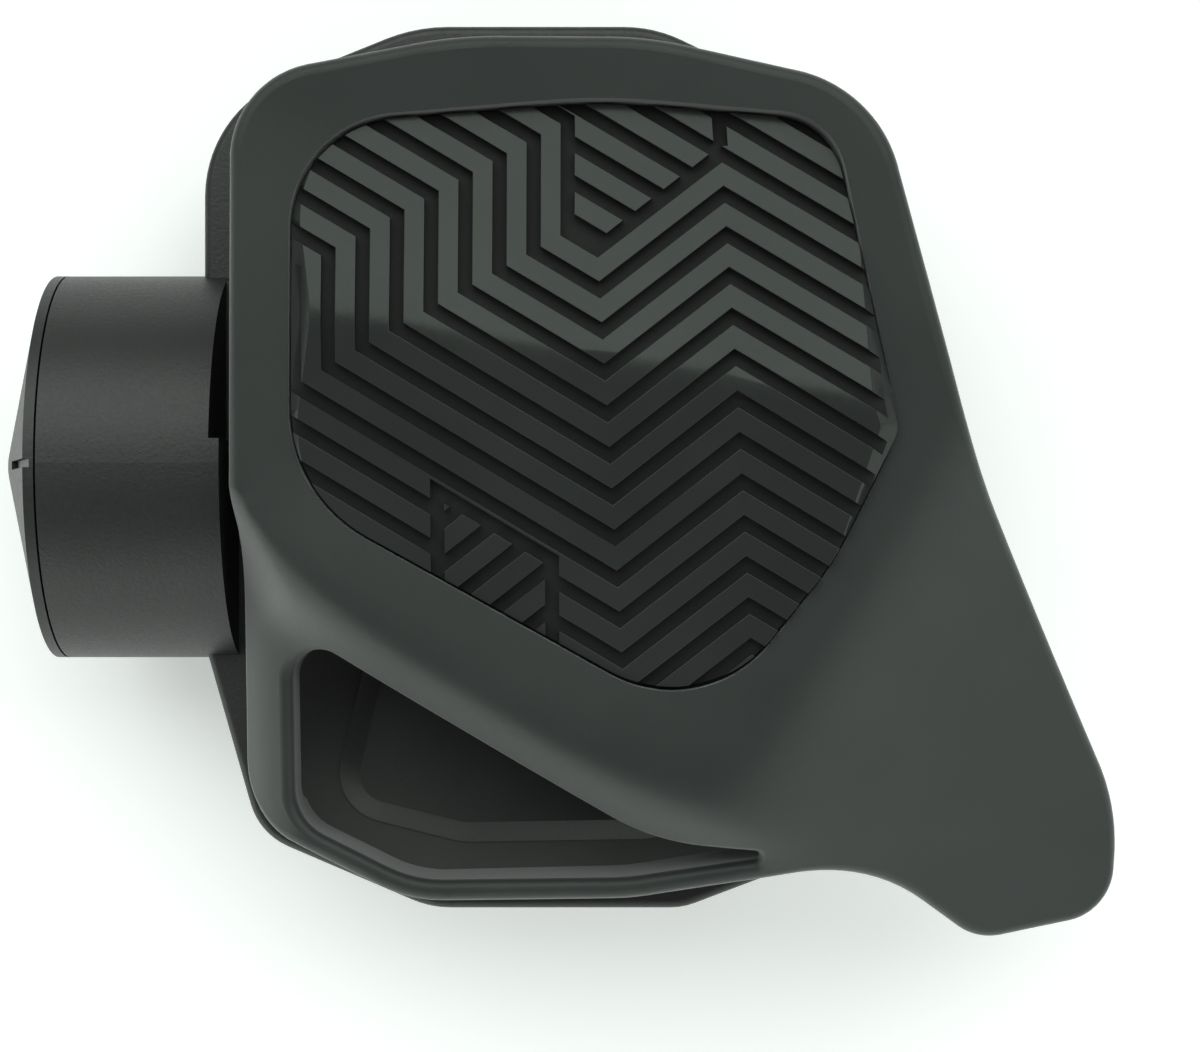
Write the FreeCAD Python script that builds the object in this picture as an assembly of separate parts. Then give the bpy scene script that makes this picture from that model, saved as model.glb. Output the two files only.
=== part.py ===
import FreeCAD, Part
import math
import os
from FreeCAD import Vector

# An electronic shift switch: a wireless handlebar switch with a thumb rocker paddle.
# X runs along the battery barrel towards the paddle's wing, Y towards the upper side of the paddle,
# and Z out of the clamp seat through the paddle face. The origin is the middle of the clamp seat.

# Driving dimensions, in millimetres and degrees. Each outline is a list of corners (x, y, radius),
# counter-clockwise seen from the front.

# Housing
housing_corners = [
    (-19.4, -10.6, 6.0), (-16.15, -22.0, 4.0), (-5.9, -26.4, 6.0), (9.2, -26.4, 4.0), (16.6, -23.6, 4.0),
    (21.0, -6.0, 10.0), (19.5, 20.5, 7.0), (7.5, 26.3, 8.0), (-6.8, 26.3, 10.0), (-19.4, 21.2, 7.5),
]
seat_height = 1.5
seat_length = 21.0
seat_width = 15.0
seat_round = 3.0
flange_z = 15.9
housing_wall = 1.8
floor_wall = 2.5
back_round = 4.0
flange_round = 0.5
collar_x = -17.3
collar_relief = 0.6
key_width = 3.2
key_depth = 1.2
key_length = 3.5
key_inset = 1.0

# Battery barrel, cell and cap
barrel_z = 13.5
barrel_end_x = -27.66
cell_radius = 10.0
cell_thickness = 3.2
cell_play = 0.3
barrel_wall = 1.2
cap_cone_height = 3.6
cap_rim = 0.6
cap_tip_radius = 1.0
cap_seam = 0.12
cap_plug_length = 1.56
cap_slot_width = 1.9
cap_slot_length = 14.0
cap_slot_depth = 2.1
cap_tick_width = 0.5
cap_tick_depth = 0.35
lug_count = 3
lug_angle = 20.0
lug_thickness = 0.7
lug_height = 0.55
lug_turn = 45.0
lug_play = 0.15
lug_slot_play = 4.0
seal_section = 0.76
contact_gap = 1.1
contact_thickness = 0.4
contact_width = 3.0
contact_side_gap = 0.2
contact_play = 0.2
contact_landing = 2.5

# Front cover
cover_thickness = 2.0
cover_lip = 1.0
cover_play = 0.1
cover_seal_height = 0.5
island_corners = [
    (-12.2, -4.2, 6.0), (8.6, -16.4, 5.0), (15.6, -7.0, 8.0), (17.6, 2.0, 5.0),
    (15.0, 17.6, 5.0), (2.0, 19.0, 20.0), (-12.2, 17.6, 5.0),
]
island_z = 20.2
island_wall = 1.6
island_round = 1.0
terrace_corners = [
    (-9.0, -8.6, 2.0), (-11.9, -20.4, 3.0), (-4.0, -22.4, 5.0), (8.0, -22.2, 5.0), (13.0, -19.0, 2.5),
]
terrace_z = 17.4
terrace_edge = 1.3
screw_places = [(-12.8, 17.5), (14.6, 16.2), (12.6, -18.2), (-11.6, -17.6)]
post_radius = 2.8
post_split_z = 11.0
post_gap = 0.1

# Screws, of one thread for cover, board and arm
screw_radius = 1.0
screw_head_radius = 1.9
screw_head_height = 1.3
screw_socket_depth = 0.7
screw_play = 0.15
screw_floor = 0.6

# Clamp insert: metric thread, drawn at its core diameter
insert_core_radius = 2.1
insert_radius = 3.3
insert_length = 7.0
insert_boss_radius = 5.2
insert_cover = 0.6

# Circuit board and what is on it
board_thickness = 1.2
board_z = 8.6
board_corners = [(-10.0, -12.4, 1.5), (13.0, -12.4, 1.5), (13.0, 14.4, 1.5), (-10.0, 14.4, 1.5)]
board_screw_places = [(-7.9, 7.6), (10.8, 3.6), (-2.6, -10.4)]
board_post_radius = 2.2
module_size = (8.0, 8.0, 1.8)
module_place = (-2.8, 1.5)
antenna_size = (6.5, 2.2, 1.2)
antenna_place = (-4.5, -6.0)
switch_size = 6.0
switch_height = 3.8

# Rocker: pivot, arm, stems and springs
pivot_z = 22.9
pin_radius = 1.25
pin_running_play = 0.02
bush_wall = 0.5
bush_flange = 0.4
ear_radius = 2.5
ear_width = 3.4
ear_gap = 0.2
arm_x = (-4.5, 10.5)
arm_half_length = 10.7
arm_thickness = 1.6
arm_drop = 0.7
knuckle_radius = 2.3
arm_screw_inset = 2.2
arm_screw_end = 2.0
arm_screw_grip = 1.3
push_end = 1.7
push_radius = 1.6
push_height = 1.0
push_gap = 0.15
stem_radius = 1.4
stem_play = 0.05
stem_engagement = 2.4
stem_end_gap = 0.17
stem_seal_section = 0.8
rock_angle = 4.0
spring_gap = 0.2
spring_radius = 1.55
spring_wire = 0.25
spring_turns = 3.5
spring_seat_depth = 0.7
spring_pocket = 0.4
spring_play = 0.1
bumper_y = 5.0
bumper_radius = 1.3
bumper_gap = 0.12

# Paddle
paddle_corners = [
    (-16.2, -20.2, 5.0), (-6.6, -24.95, 8.0), (5.95, -24.65, 15.0), (19.3, -22.5, 10.5), (26.3, -27.8, 3.5),
    (34.65, -26.55, 3.2), (34.8, -20.1, 12.0), (24.85, 0.2, 40.0), (19.3, 20.3, 7.2), (6.85, 23.0, 20.0),
    (-3.55, 23.05, 25.0), (-15.85, 20.75, 5.2),
]
ridge_z = 32.0
ridge_y = 6.03
ridge_turn = -9.2
roof_angle = 8.0
roof_radius = 7.0
face_step = 0.8
face_margin = 3.0
paddle_skin = 4.0
paddle_edge_round = 0.6
skirt_wall = 2.0
skirt_z = 18.8
bezel_z = 30.7
bezel_fall = 0.026
bezel_dish = 0.16
bezel_softness = 1.2
crease_z = 30.7
crease_point = (2.03, -14.87)
crease_slope = -0.562
crease_rise = 3.9
crease_rise_run = 3.0
crease_bow = 0.0167
crease_softness = (0.75, 2.0)
flank_slope = 0.2
flank_roll = 1.3
flank_lip = 2.6
flank_width = 1.9
column_x = -12.6
column_roll = 0.2
wing_z = 30.8
wing_point = (17.7, -8.55)
wing_turn = -32.4
wing_scoop = 6.5
wing_run = 12.0
wing_fall = 0.35
wing_softness = 2.0
window_x = -13.15
window_top = (-9.1, 1.8)
window_bend = (7.25, -21.2, 12.0)
window_tip = (15.3, -21.95, 0.3)
window_foot_round = 3.0
window_rim = 1.2
window_round = 0.5
boss_radius = 2.2

# Thumb pad let into the paddle, with raised ribs
pad_corners = [
    (-12.6, -1.85, 8.0), (9.9, -14.4, 7.0), (16.9, -5.6, 15.0), (20.5, 1.65, 1.5), (16.85, 18.6, 4.0),
    (4.25, 19.65, 40.0), (-12.5, 18.25, 6.3),
]
pad_play = 0.15
pad_depth = 1.6
pad_base = 0.9
pad_edge_proud = 0.1
pad_edge_slope = 1.4
rib_height = 0.6
rib_width = 1.1
rib_pitch = 1.85
rib_fall = -31.0
rib_rise = 38.0
rib_start = (-6.4, 13.6)
rib_runs = [(-90.0, 6.2), (rib_fall, 13.0), (rib_rise, 8.6)]
rib_range = (-14, 5)
patch_corners = [(-5.0, -1.0, 0), (-5.0, -20.0, 0), (2.0, -20.0, 0), (2.0, -5.2, 0)]

# Function button and status lens on the clamp side
button_place = (9.0, 11.6)
button_radius = 3.2
button_play = 0.1
button_travel = 0.6
button_end_gap = 0.6
button_proud = 0.5
button_flange = 0.7
button_flange_height = 0.6
button_stem_radius = 1.0
button_stem_engagement = 0.9
button_seal_section = 0.7
button_switch_size = 5.0
button_switch_height = 2.6
lens_place = (2.2, 14.0)
lens_radius = 1.1

# Values that follow from the driving dimensions
far = 60.0
root = 0.5
back_z = seat_height
floor_z = back_z + floor_wall
screw_head_z = floor_z + screw_floor
cover_top_z = flange_z
cover_base_z = cover_top_z - cover_thickness
rebate_z = cover_base_z - cover_seal_height
inner_x = collar_x + cover_lip / 2
board_top_z = board_z + board_thickness
contact_end_x = board_corners[0][0] + contact_landing
bore_radius = cell_radius + cell_play
barrel_radius = bore_radius + barrel_wall
cap_plane_x = barrel_end_x - cap_seam
cell_x = barrel_end_x + cap_plug_length + cell_play
bore_end_x = cell_x + cell_thickness + contact_gap
strip_top_z = rebate_z - 0.4
button_seal_z = back_z + floor_wall / 2
arm_base_z = pivot_z + arm_drop
arm_top_z = arm_base_z + arm_thickness
arm_mid_x = (arm_x[0] + arm_x[1]) / 2
arm_screw_xs = (arm_x[0] + arm_screw_inset, arm_x[1] - arm_screw_inset)
arm_screw_y = arm_half_length - arm_screw_end
arm_screw_places = [(x, y) for x in arm_screw_xs for y in (-arm_screw_y, arm_screw_y)]
arm_screw_tip = arm_top_z + arm_screw_grip
push_y = arm_half_length - push_end
push_tip_z = arm_base_z - push_height
stem_top_z = push_tip_z - push_gap
stem_base_z = board_top_z + switch_height - stem_engagement
stem_travel = push_y * math.tan(math.radians(rock_angle))
spring_hole = spring_radius + spring_wire + spring_play
spring_y = push_y - stem_radius - stem_seal_section - spring_gap - spring_hole
bush_radius = pin_radius + pin_running_play + bush_wall
knuckle_x = (arm_x[0] - 0.1, arm_x[1] + 0.1)
ear_starts = (knuckle_x[0] - ear_gap - bush_flange - ear_width, knuckle_x[1] + ear_gap + bush_flange)
lug_start_x = barrel_end_x + seal_section + lug_play
lug_end_x = lug_start_x + lug_thickness
lug_radius = bore_radius + lug_height
button_tip_z = board_z - button_switch_height + button_stem_engagement
ridge_cos = math.cos(math.radians(ridge_turn))
ridge_along = Vector(ridge_cos, math.sin(math.radians(ridge_turn)), 0)
ridge_across = Vector(-ridge_along.y, ridge_along.x, 0)
wing_out = Vector(math.cos(math.radians(wing_turn)), math.sin(math.radians(wing_turn)), 0)


def edge_lines(corners, inset):
    """The sides of an outline moved inwards, each as a start point and a direction."""
    lines = []
    for start, end in zip(corners, corners[1:] + corners[:1]):
        run = Vector(end[0] - start[0], end[1] - start[1], 0).normalize()
        inward = Vector(-run.y, run.x, 0)
        lines.append((Vector(start[0], start[1], 0) + inward * inset, run))
    return lines


def moved_in(corners, inset):
    """The outline's corners with every side moved inwards and the radii kept parallel."""
    lines = edge_lines(corners, inset)
    result = []
    for index, corner in enumerate(corners):
        point_a, run_a = lines[index - 1]
        point_b, run_b = lines[index]
        turn = run_a.cross(run_b).z
        along = (point_b - point_a).cross(run_b).z / turn
        meet = point_a + run_a * along
        result.append((meet.x, meet.y, max(corner[2] - math.copysign(inset, turn), 0.2)))
    return result


def outline(corners, z):
    """A closed wire through the corners, each rounded with its own radius."""
    points = [Vector(x, y, z) for x, y, radius in corners]
    edges = []
    first = last = None
    for index, corner in enumerate(corners):
        here = points[index]
        back = (points[index - 1] - here).normalize()
        ahead = (points[(index + 1) % len(points)] - here).normalize()
        half = back.getAngle(ahead) / 2
        start = here + back * (corner[2] / math.tan(half))
        end = here + ahead * (corner[2] / math.tan(half))
        middle = here + (back + ahead).normalize() * (corner[2] / math.sin(half) - corner[2])
        if last is None:
            first = start
        else:
            edges.append(Part.makeLine(last, start))
        edges.append(Part.Arc(start, middle, end).toShape())
        last = end
    edges.append(Part.makeLine(last, first))
    return Part.Wire(edges)


def prism(corners, low, high):
    return Part.Face(outline(corners, low)).extrude(Vector(0, 0, high - low))


def block(x_range, y_range, z_range):
    size = [pair[1] - pair[0] for pair in (x_range, y_range, z_range)]
    return Part.makeBox(size[0], size[1], size[2], Vector(x_range[0], y_range[0], z_range[0]))


def upright(radius, place, low, high):
    return Part.makeCylinder(radius, high - low, Vector(place[0], place[1], low))


def lengthwise(radius, start, end, y, z):
    """A cylinder along X."""
    return Part.makeCylinder(radius, end - start, Vector(start, y, z), Vector(1, 0, 0))


def barrel_cylinder(radius, start, end):
    return lengthwise(radius, start, end, 0, barrel_z)


def ring(middle_radius, section, place, axis):
    return Part.makeTorus(middle_radius, section / 2, place, axis)


def smooth(value):
    value = min(max(value, 0.0), 1.0)
    return value * value * (3 - 2 * value)


def roof_height(across):
    """Height of the thumb face over the distance from its ridge: two flats joined by a round."""
    angle = math.radians(roof_angle)
    reach = abs(across)
    if reach < roof_radius * math.sin(angle):
        return ridge_z - roof_radius + math.sqrt(roof_radius ** 2 - reach ** 2)
    fall = (reach - roof_radius * math.sin(angle)) * math.tan(angle)
    return ridge_z - roof_radius * (1 - math.cos(angle)) - fall


def lower_of(first, second, softness):
    """The lower of two heights, with a round where they meet."""
    return (first + second - math.hypot(first - second, softness)) / 2


def pad_distance(x, y):
    """How far a point is outside the thumb pad, with the pad's corners softened; 0 over the pad."""
    total = 0.0
    for point, run in edge_lines(pad_corners, 0):
        outside = (x - point.x) * run.y - (y - point.y) * run.x
        total += math.exp(outside / bezel_softness)
    outside = bezel_softness * math.log(total)
    return (outside + math.hypot(outside, bezel_softness)) / 2


def bezel_height(x, y):
    """The band round the thumb pad, which falls towards the pad like the edge of a dish."""
    return bezel_z + bezel_fall * (y - ridge_y) + bezel_dish * pad_distance(x, y)


def flank_height(x, y):
    """The lower left flank, which rolls over from a crease to the window's lip and the left column."""
    crease = crease_point[1] + crease_slope * (x - crease_point[0]) + crease_bow * max(x, 0.0) ** 2
    crease += crease_rise * math.exp(-(x - paddle_corners[0][0]) / crease_rise_run)
    below = (crease - y) * math.cos(math.atan(crease_slope))
    steep = math.erf((below - flank_lip) / flank_width) + math.erf(flank_lip / flank_width)
    fall = flank_slope * below + flank_roll * flank_width * math.sqrt(math.pi) / 2 * steep
    column = max(column_x - x, 0.0) ** 2 * smooth(below / flank_lip)
    return crease_z - fall - column_roll * column


def wing_height(x, y):
    """The wing, which scoops down from the band's right edge and runs out nearly flat."""
    beyond = Vector(x - wing_point[0], y - wing_point[1], 0).dot(wing_out)
    return wing_z - wing_scoop * (1 - math.exp(-beyond / wing_run)) - wing_fall * beyond


def paddle_height(x, y):
    """Height of the paddle's outer face: band, lower left flank and wing in one surface."""
    along = smooth((x - paddle_corners[0][0]) / (wing_point[0] - paddle_corners[0][0]))
    softness = crease_softness[0] + (crease_softness[1] - crease_softness[0]) * along
    height = lower_of(bezel_height(x, y), flank_height(x, y), softness)
    return lower_of(height, wing_height(x, y), wing_softness)


def under_paddle_face(drop, depth):
    """The space below the paddle's outer face, from a drop below it and downwards."""
    x_low = min(corner[0] for corner in paddle_corners) - face_margin
    y_low = min(corner[1] for corner in paddle_corners) - face_margin
    x_high = max(corner[0] for corner in paddle_corners) + face_margin
    y_high = max(corner[1] for corner in paddle_corners) + face_margin
    xs = [x_low + step * face_step for step in range(int((x_high - x_low) / face_step) + 2)]
    ys = [y_low + step * face_step for step in range(int((y_high - y_low) / face_step) + 2)]
    rows = []
    for x in xs:
        rows.append([Vector(x, y, paddle_height(x, y) - drop) for y in ys])
    surface = Part.BSplineSurface()
    surface.interpolate(rows)
    return surface.toShape().extrude(Vector(0, 0, -depth))


def roof_slab(top_drop, base_drop):
    """A slab that follows the thumb face between two depths below it."""
    angle = math.radians(roof_angle)
    bend = roof_radius * math.sin(angle)
    start = Vector(0, ridge_y, 0) - ridge_along * far

    def at(across, drop):
        return start + ridge_across * across + Vector(0, 0, roof_height(across) - drop)

    edges = []
    for drop, sign in ((top_drop, 1), (base_drop, -1)):
        reach = far * sign
        edges.append(Part.makeLine(at(-reach, drop), at(-bend * sign, drop)))
        edges.append(Part.Arc(at(-bend * sign, drop), at(0, drop), at(bend * sign, drop)).toShape())
        edges.append(Part.makeLine(at(bend * sign, drop), at(reach, drop)))
        edges.append(Part.makeLine(at(reach, drop), at(reach, base_drop if sign > 0 else top_drop)))
    return Part.Face(Part.Wire(edges)).extrude(ridge_along * (2 * far))


def screw(tip_z, head_z, place, up):
    """A pan-head screw with a hexagon socket; its head is at head_z and its tip at tip_z."""
    way = 1 if up else -1
    head_start = Vector(place[0], place[1], head_z)
    shank = Part.makeCylinder(screw_radius, abs(tip_z - head_z), head_start, Vector(0, 0, way))
    head = Part.makeCylinder(screw_head_radius, screw_head_height, head_start, Vector(0, 0, -way))
    far_z = head_z - way * screw_head_height
    rim = [edge for edge in head.Edges if abs(edge.CenterOfMass.z - far_z) < 0.01 and edge.Length > 1]
    head = head.makeFillet(screw_head_height * 0.35, rim)
    socket = Part.makePolygon([
        Vector(place[0] + screw_radius * 0.75 * math.cos(math.radians(60 * i)),
               place[1] + screw_radius * 0.75 * math.sin(math.radians(60 * i)), far_z) for i in range(7)
    ])
    recess = Part.Face(socket).extrude(Vector(0, 0, way * screw_socket_depth))
    return shank.fuse(head).removeSplitter().cut(recess)


def edges_at(shape, test):
    """The edges whose middle point passes the test."""
    found = []
    for edge in shape.Edges:
        middle = edge.valueAt((edge.FirstParameter + edge.LastParameter) / 2)
        if test(middle):
            found.append(edge)
    return found


def eased(shape, edges, radius):
    """The shape with those edges rounded, by a smaller radius where the full one does not fit."""
    for share in (1.0, 0.8, 0.6, 0.4):
        try:
            rounded = shape.makeFillet(radius * share, edges)
        except Part.OCCError:
            continue
        if rounded.isValid():
            return rounded
    return shape


def inner_space(inset, low, high):
    """The housing outline moved inwards, kept clear of the barrel collar."""
    limit = block((inner_x + inset - cover_lip, far), (-far, far), (low, high))
    return prism(moved_in(housing_corners, inset), low, high).common(limit)


def lug(start_angle, spread, inner, outer, x_start, x_end):
    """A piece of a ring about the barrel axis."""
    start = Vector(x_start, 0, barrel_z)
    outer_part = Part.makeCylinder(outer, x_end - x_start, start, Vector(1, 0, 0), spread)
    piece = outer_part.cut(barrel_cylinder(inner, x_start - 1, x_end + 1))
    piece.rotate(Vector(0, 0, barrel_z), Vector(1, 0, 0), start_angle - spread / 2)
    return piece


def make_housing():
    body = prism(housing_corners, back_z, flange_z)
    body = body.makeFillet(back_round, edges_at(body, lambda p: abs(p.z - back_z) < 0.01))
    body = body.makeFillet(flange_round, edges_at(body, lambda p: abs(p.z - flange_z) < 0.01))
    barrel = barrel_cylinder(barrel_radius, barrel_end_x, collar_x)
    half_x, half_y = seat_length / 2, seat_width / 2
    seat_corners = [
        (-half_x, -half_y, seat_round), (half_x, -half_y, seat_round),
        (half_x, half_y, seat_round), (-half_x, half_y, seat_round),
    ]
    body = body.fuse([barrel, prism(seat_corners, 0, back_z + root)])
    body = body.cut(inner_space(housing_wall, floor_z, flange_z))
    body = body.cut(inner_space(cover_lip, rebate_z, far))
    posts = [upright(post_radius, place, floor_z - root, post_split_z) for place in screw_places]
    posts += [upright(board_post_radius, place, floor_z - root, board_z) for place in board_screw_places]
    posts.append(upright(insert_boss_radius, (0, 0), floor_z - root, insert_length + insert_cover))
    body = body.fuse(posts)
    holes = []
    for place in screw_places:
        holes.append(upright(screw_radius + screw_play, place, 0, far))
        holes.append(upright(screw_head_radius + screw_play, place, 0, screw_head_z))
    for place in board_screw_places:
        holes.append(upright(screw_radius, place, floor_z + screw_floor, board_z + 1))
    holes.append(upright(insert_radius, (0, 0), -1, insert_length))
    for side in (-1, 1):
        key_end = half_x - key_inset
        key_x = sorted((side * key_end, side * (key_end - key_length)))
        holes.append(block(key_x, (-key_width / 2, key_width / 2), (-1, key_depth)))
    holes.append(upright(button_radius + button_play, button_place, 0, floor_z + 1))
    holes.append(upright(lens_radius, lens_place, 0, floor_z + 1))
    holes.append(barrel_cylinder(bore_radius, barrel_end_x - 1, bore_end_x))
    groove_start = lug_start_x - lug_play
    holes.append(lug(0, 360, bore_radius - 1, lug_radius + lug_play, groove_start, lug_end_x + lug_play))
    for index in range(lug_count):
        angle = index * 360 / lug_count - lug_turn
        slot_radius = lug_radius + lug_play
        slot_angle = lug_angle + lug_slot_play
        slot = lug(angle, slot_angle, bore_radius - 1, slot_radius, barrel_end_x - 1, lug_end_x)
        holes.append(slot)
    chamber_y = (-cell_radius * 0.7, cell_radius + 1.2)
    holes.append(block((bore_end_x + 1.2, inner_x + 2), chamber_y, (floor_z + 2, rebate_z - 1)))
    strip_z = (board_top_z - contact_play, strip_top_z + contact_play)
    strip_start = cell_radius + contact_side_gap
    strip_y = (strip_start - 0.1, strip_start + contact_thickness + contact_play)
    holes.append(block((cell_x, inner_x + 2), strip_y, strip_z))
    slot_y = (-contact_width / 2 - contact_play, contact_width / 2 + contact_play)
    slot_z = (board_top_z - contact_play, board_top_z + contact_thickness + contact_play)
    holes.append(block((bore_end_x - 1, inner_x), slot_y, slot_z))
    relief_x = (collar_x - collar_relief, collar_x + 1)
    holes.append(block(relief_x, (1.4, barrel_radius + 1), (flange_z + 1.2, far)))
    return body.cut(holes)


def make_cover():
    plate = inner_space(cover_lip + cover_play, cover_base_z, cover_top_z)
    island = prism(island_corners, cover_base_z, island_z)
    island = island.makeFillet(island_round, edges_at(island, lambda p: abs(p.z - island_z) < 0.01))
    terrace = prism(terrace_corners, cover_base_z, terrace_z)
    terrace = terrace.makeChamfer(terrace_edge, edges_at(terrace, lambda p: abs(p.z - terrace_z) < 0.01))
    solids = [island, terrace]
    for start in ear_starts:
        solids.append(lengthwise(ear_radius, start, start + ear_width, 0, pivot_z))
        ear_x = (start, start + ear_width)
        solids.append(block(ear_x, (-ear_radius, ear_radius), (island_z - root, pivot_z)))
    for place in screw_places:
        solids.append(upright(post_radius, place, post_split_z + post_gap, cover_base_z + root))
    cover = plate.fuse(solids)
    cover = cover.cut(prism(moved_in(island_corners, island_wall), cover_base_z - 1, island_z - island_wall))
    holes = []
    for start in ear_starts:
        holes.append(lengthwise(bush_radius, start - 1, start + ear_width + 1, 0, pivot_z))
    for side in (-1, 1):
        place = (arm_mid_x, side * push_y)
        holes.append(upright(stem_radius + stem_play, place, cover_base_z, far))
        holes.append(upright(stem_radius + stem_seal_section, place, island_z - stem_seal_section, far))
        seat = (arm_mid_x, side * spring_y)
        holes.append(upright(spring_hole, seat, island_z - spring_seat_depth, island_z + 1))
    for place in screw_places:
        holes.append(upright(screw_radius, place, post_split_z - 1, cover_base_z + screw_floor))
    return cover.cut(holes)


def make_cover_seal():
    outer = inner_space(cover_lip + cover_play, rebate_z, cover_base_z)
    return outer.cut(inner_space(housing_wall, rebate_z - 1, cover_base_z + 1))


def make_cover_screws():
    tip_z = cover_base_z + screw_floor / 2
    return [screw(tip_z, screw_head_z, place, True) for place in screw_places]


def make_clamp_insert():
    body = upright(insert_radius, (0, 0), 0, insert_length)
    waist = (insert_length * 0.45, insert_length * 0.6)
    groove = upright(insert_radius + 1, (0, 0), waist[0], waist[1])
    groove = groove.cut(upright(insert_radius - 0.5, (0, 0), waist[0], waist[1]))
    return body.cut([groove, upright(insert_core_radius, (0, 0), -1, far)])


def make_circuit_board():
    board = prism(board_corners, board_z, board_top_z)
    return board.cut([upright(screw_radius + screw_play, place, 0, far) for place in board_screw_places])


def make_board_screws():
    tip_z = floor_z + 2 * screw_floor
    return [screw(tip_z, board_top_z, place, False) for place in board_screw_places]


def placed_block(size, place, base_z):
    half_x, half_y = size[0] / 2, size[1] / 2
    x_range = (place[0] - half_x, place[0] + half_x)
    y_range = (place[1] - half_y, place[1] + half_y)
    return block(x_range, y_range, (base_z, base_z + size[2]))


def make_radio_module():
    can = placed_block(module_size, module_place, board_top_z)
    top = board_top_z + module_size[2]
    return can.makeFillet(0.4, edges_at(can, lambda p: p.z > board_top_z + 0.1 and p.z <= top))


def make_antenna():
    return placed_block(antenna_size, antenna_place, board_top_z)


def make_switch(side):
    place = (arm_mid_x, side * push_y)
    body = placed_block((switch_size, switch_size, switch_height), place, board_top_z)
    top = board_top_z + switch_height
    body = body.makeChamfer(0.3, edges_at(body, lambda p: abs(p.z - top) < 0.01))
    bore_base = stem_base_z - stem_travel - stem_end_gap
    return body.cut(upright(stem_radius + stem_play, place, bore_base, far))


def make_stem(side):
    place = (arm_mid_x, side * push_y)
    stem = upright(stem_radius, place, stem_base_z, stem_top_z)
    return stem.makeFillet(0.3, edges_at(stem, lambda p: abs(p.z - stem_top_z) < 0.01))


def make_stem_seals():
    height = stem_seal_section
    seals = []
    for side in (-1, 1):
        place = (arm_mid_x, side * push_y)
        outer = upright(stem_radius + height, place, island_z - height, island_z)
        seals.append(outer.cut(upright(stem_radius + stem_play, place, 0, far)))
    return seals


def make_bumpers():
    reach = bumper_y * math.tan(math.radians(rock_angle))
    top = arm_base_z - reach - bumper_gap
    bumpers = []
    for x in arm_screw_xs:
        for y in (-bumper_y, bumper_y):
            bumper = upright(bumper_radius, (x, y), island_z, top)
            bumpers.append(bumper.makeFillet(0.4, edges_at(bumper, lambda p: abs(p.z - top) < 0.01)))
    return bumpers


def make_bushes():
    bore = pin_radius + pin_running_play
    bushes = []
    for start, flange_start in zip(ear_starts, (ear_starts[0] + ear_width, ear_starts[1] - bush_flange)):
        sleeve = lengthwise(bush_radius, start, start + ear_width, 0, pivot_z)
        flange = lengthwise(bush_radius + 0.5, flange_start, flange_start + bush_flange, 0, pivot_z)
        bushes.append(sleeve.fuse(flange).removeSplitter().cut(lengthwise(bore, -far, far, 0, pivot_z)))
    return bushes


def make_pivot_pin():
    pin = lengthwise(pin_radius, ear_starts[0] + 0.2, ear_starts[1] + ear_width - 0.2, 0, pivot_z)
    return pin.makeChamfer(0.25, [edge for edge in pin.Edges if edge.Closed])


def make_coin_cell():
    can = barrel_cylinder(cell_radius, cell_x, cell_x + cell_thickness * 0.85)
    can = can.makeFillet(0.5, [edge for edge in can.Edges if edge.Closed])
    lid = barrel_cylinder(cell_radius * 0.87, cell_x + 1, cell_x + cell_thickness)
    return can.fuse(lid)


def make_negative_contact():
    leg_x = (cell_x + cell_thickness, cell_x + cell_thickness + contact_thickness)
    half = contact_width / 2
    leg = block(leg_x, (-half, half), (board_top_z, barrel_z + 2.5))
    foot_z = (board_top_z, board_top_z + contact_thickness)
    foot = block((leg_x[0], contact_end_x), (-half, half), foot_z)
    return leg.fuse(foot).removeSplitter()


def make_positive_contact():
    strip_start = cell_radius + contact_side_gap
    strip_y = (strip_start, strip_start + contact_thickness)
    return block((cell_x + cell_play, contact_end_x), strip_y, (board_top_z, strip_top_z))


def make_battery_cap():
    rim_x = cap_plane_x - cap_rim
    rim = barrel_cylinder(barrel_radius, rim_x, cap_plane_x)
    cone_height = cap_cone_height - cap_rim
    cone_base = Vector(rim_x, 0, barrel_z)
    cone = Part.makeCone(barrel_radius, cap_tip_radius, cone_height, cone_base, Vector(-1, 0, 0))
    plug_radius = bore_radius - lug_play
    plug_end = barrel_end_x + cap_plug_length
    plug = barrel_cylinder(plug_radius, rim_x, plug_end)
    cap = rim.fuse([cone, plug])
    ring_x = barrel_end_x + seal_section / 2
    groove = lug(0, 360, bore_radius - seal_section, bore_radius + 1, ring_x - 0.4, ring_x + 0.4)
    groove = groove.common(barrel_cylinder(plug_radius + 1, barrel_end_x, plug_end))
    cap = cap.cut(groove)
    for index in range(lug_count):
        angle = index * 360 / lug_count
        cap = cap.fuse(lug(angle, lug_angle, plug_radius - 1, lug_radius, lug_start_x, lug_end_x))
    tip_x = cap_plane_x - cap_cone_height
    slot_z = (barrel_z - cap_slot_width / 2, barrel_z + cap_slot_width / 2)
    slot = block((tip_x - 1, tip_x + cap_slot_depth), (-cap_slot_length / 2, cap_slot_length / 2), slot_z)
    half = cap_tick_width / 2
    slope = math.degrees(math.atan2(cone_height, barrel_radius - cap_tip_radius))
    tick = Part.makeBox(far, cap_tick_width, far, Vector(-far, -half, 3.0))
    tick.translate(Vector(cap_tick_depth, 0, 0))
    tick.rotate(Vector(0, 0, 0), Vector(0, 1, 0), slope)
    tick.translate(Vector(tip_x, 0, barrel_z + cap_tip_radius))
    return cap.cut([slot, tick])


def make_battery_cap_seal():
    ring_x = barrel_end_x + seal_section / 2
    middle = bore_radius - seal_section / 2 - 0.01
    return ring(middle, seal_section - 0.02, Vector(ring_x, 0, barrel_z), Vector(1, 0, 0))


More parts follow.
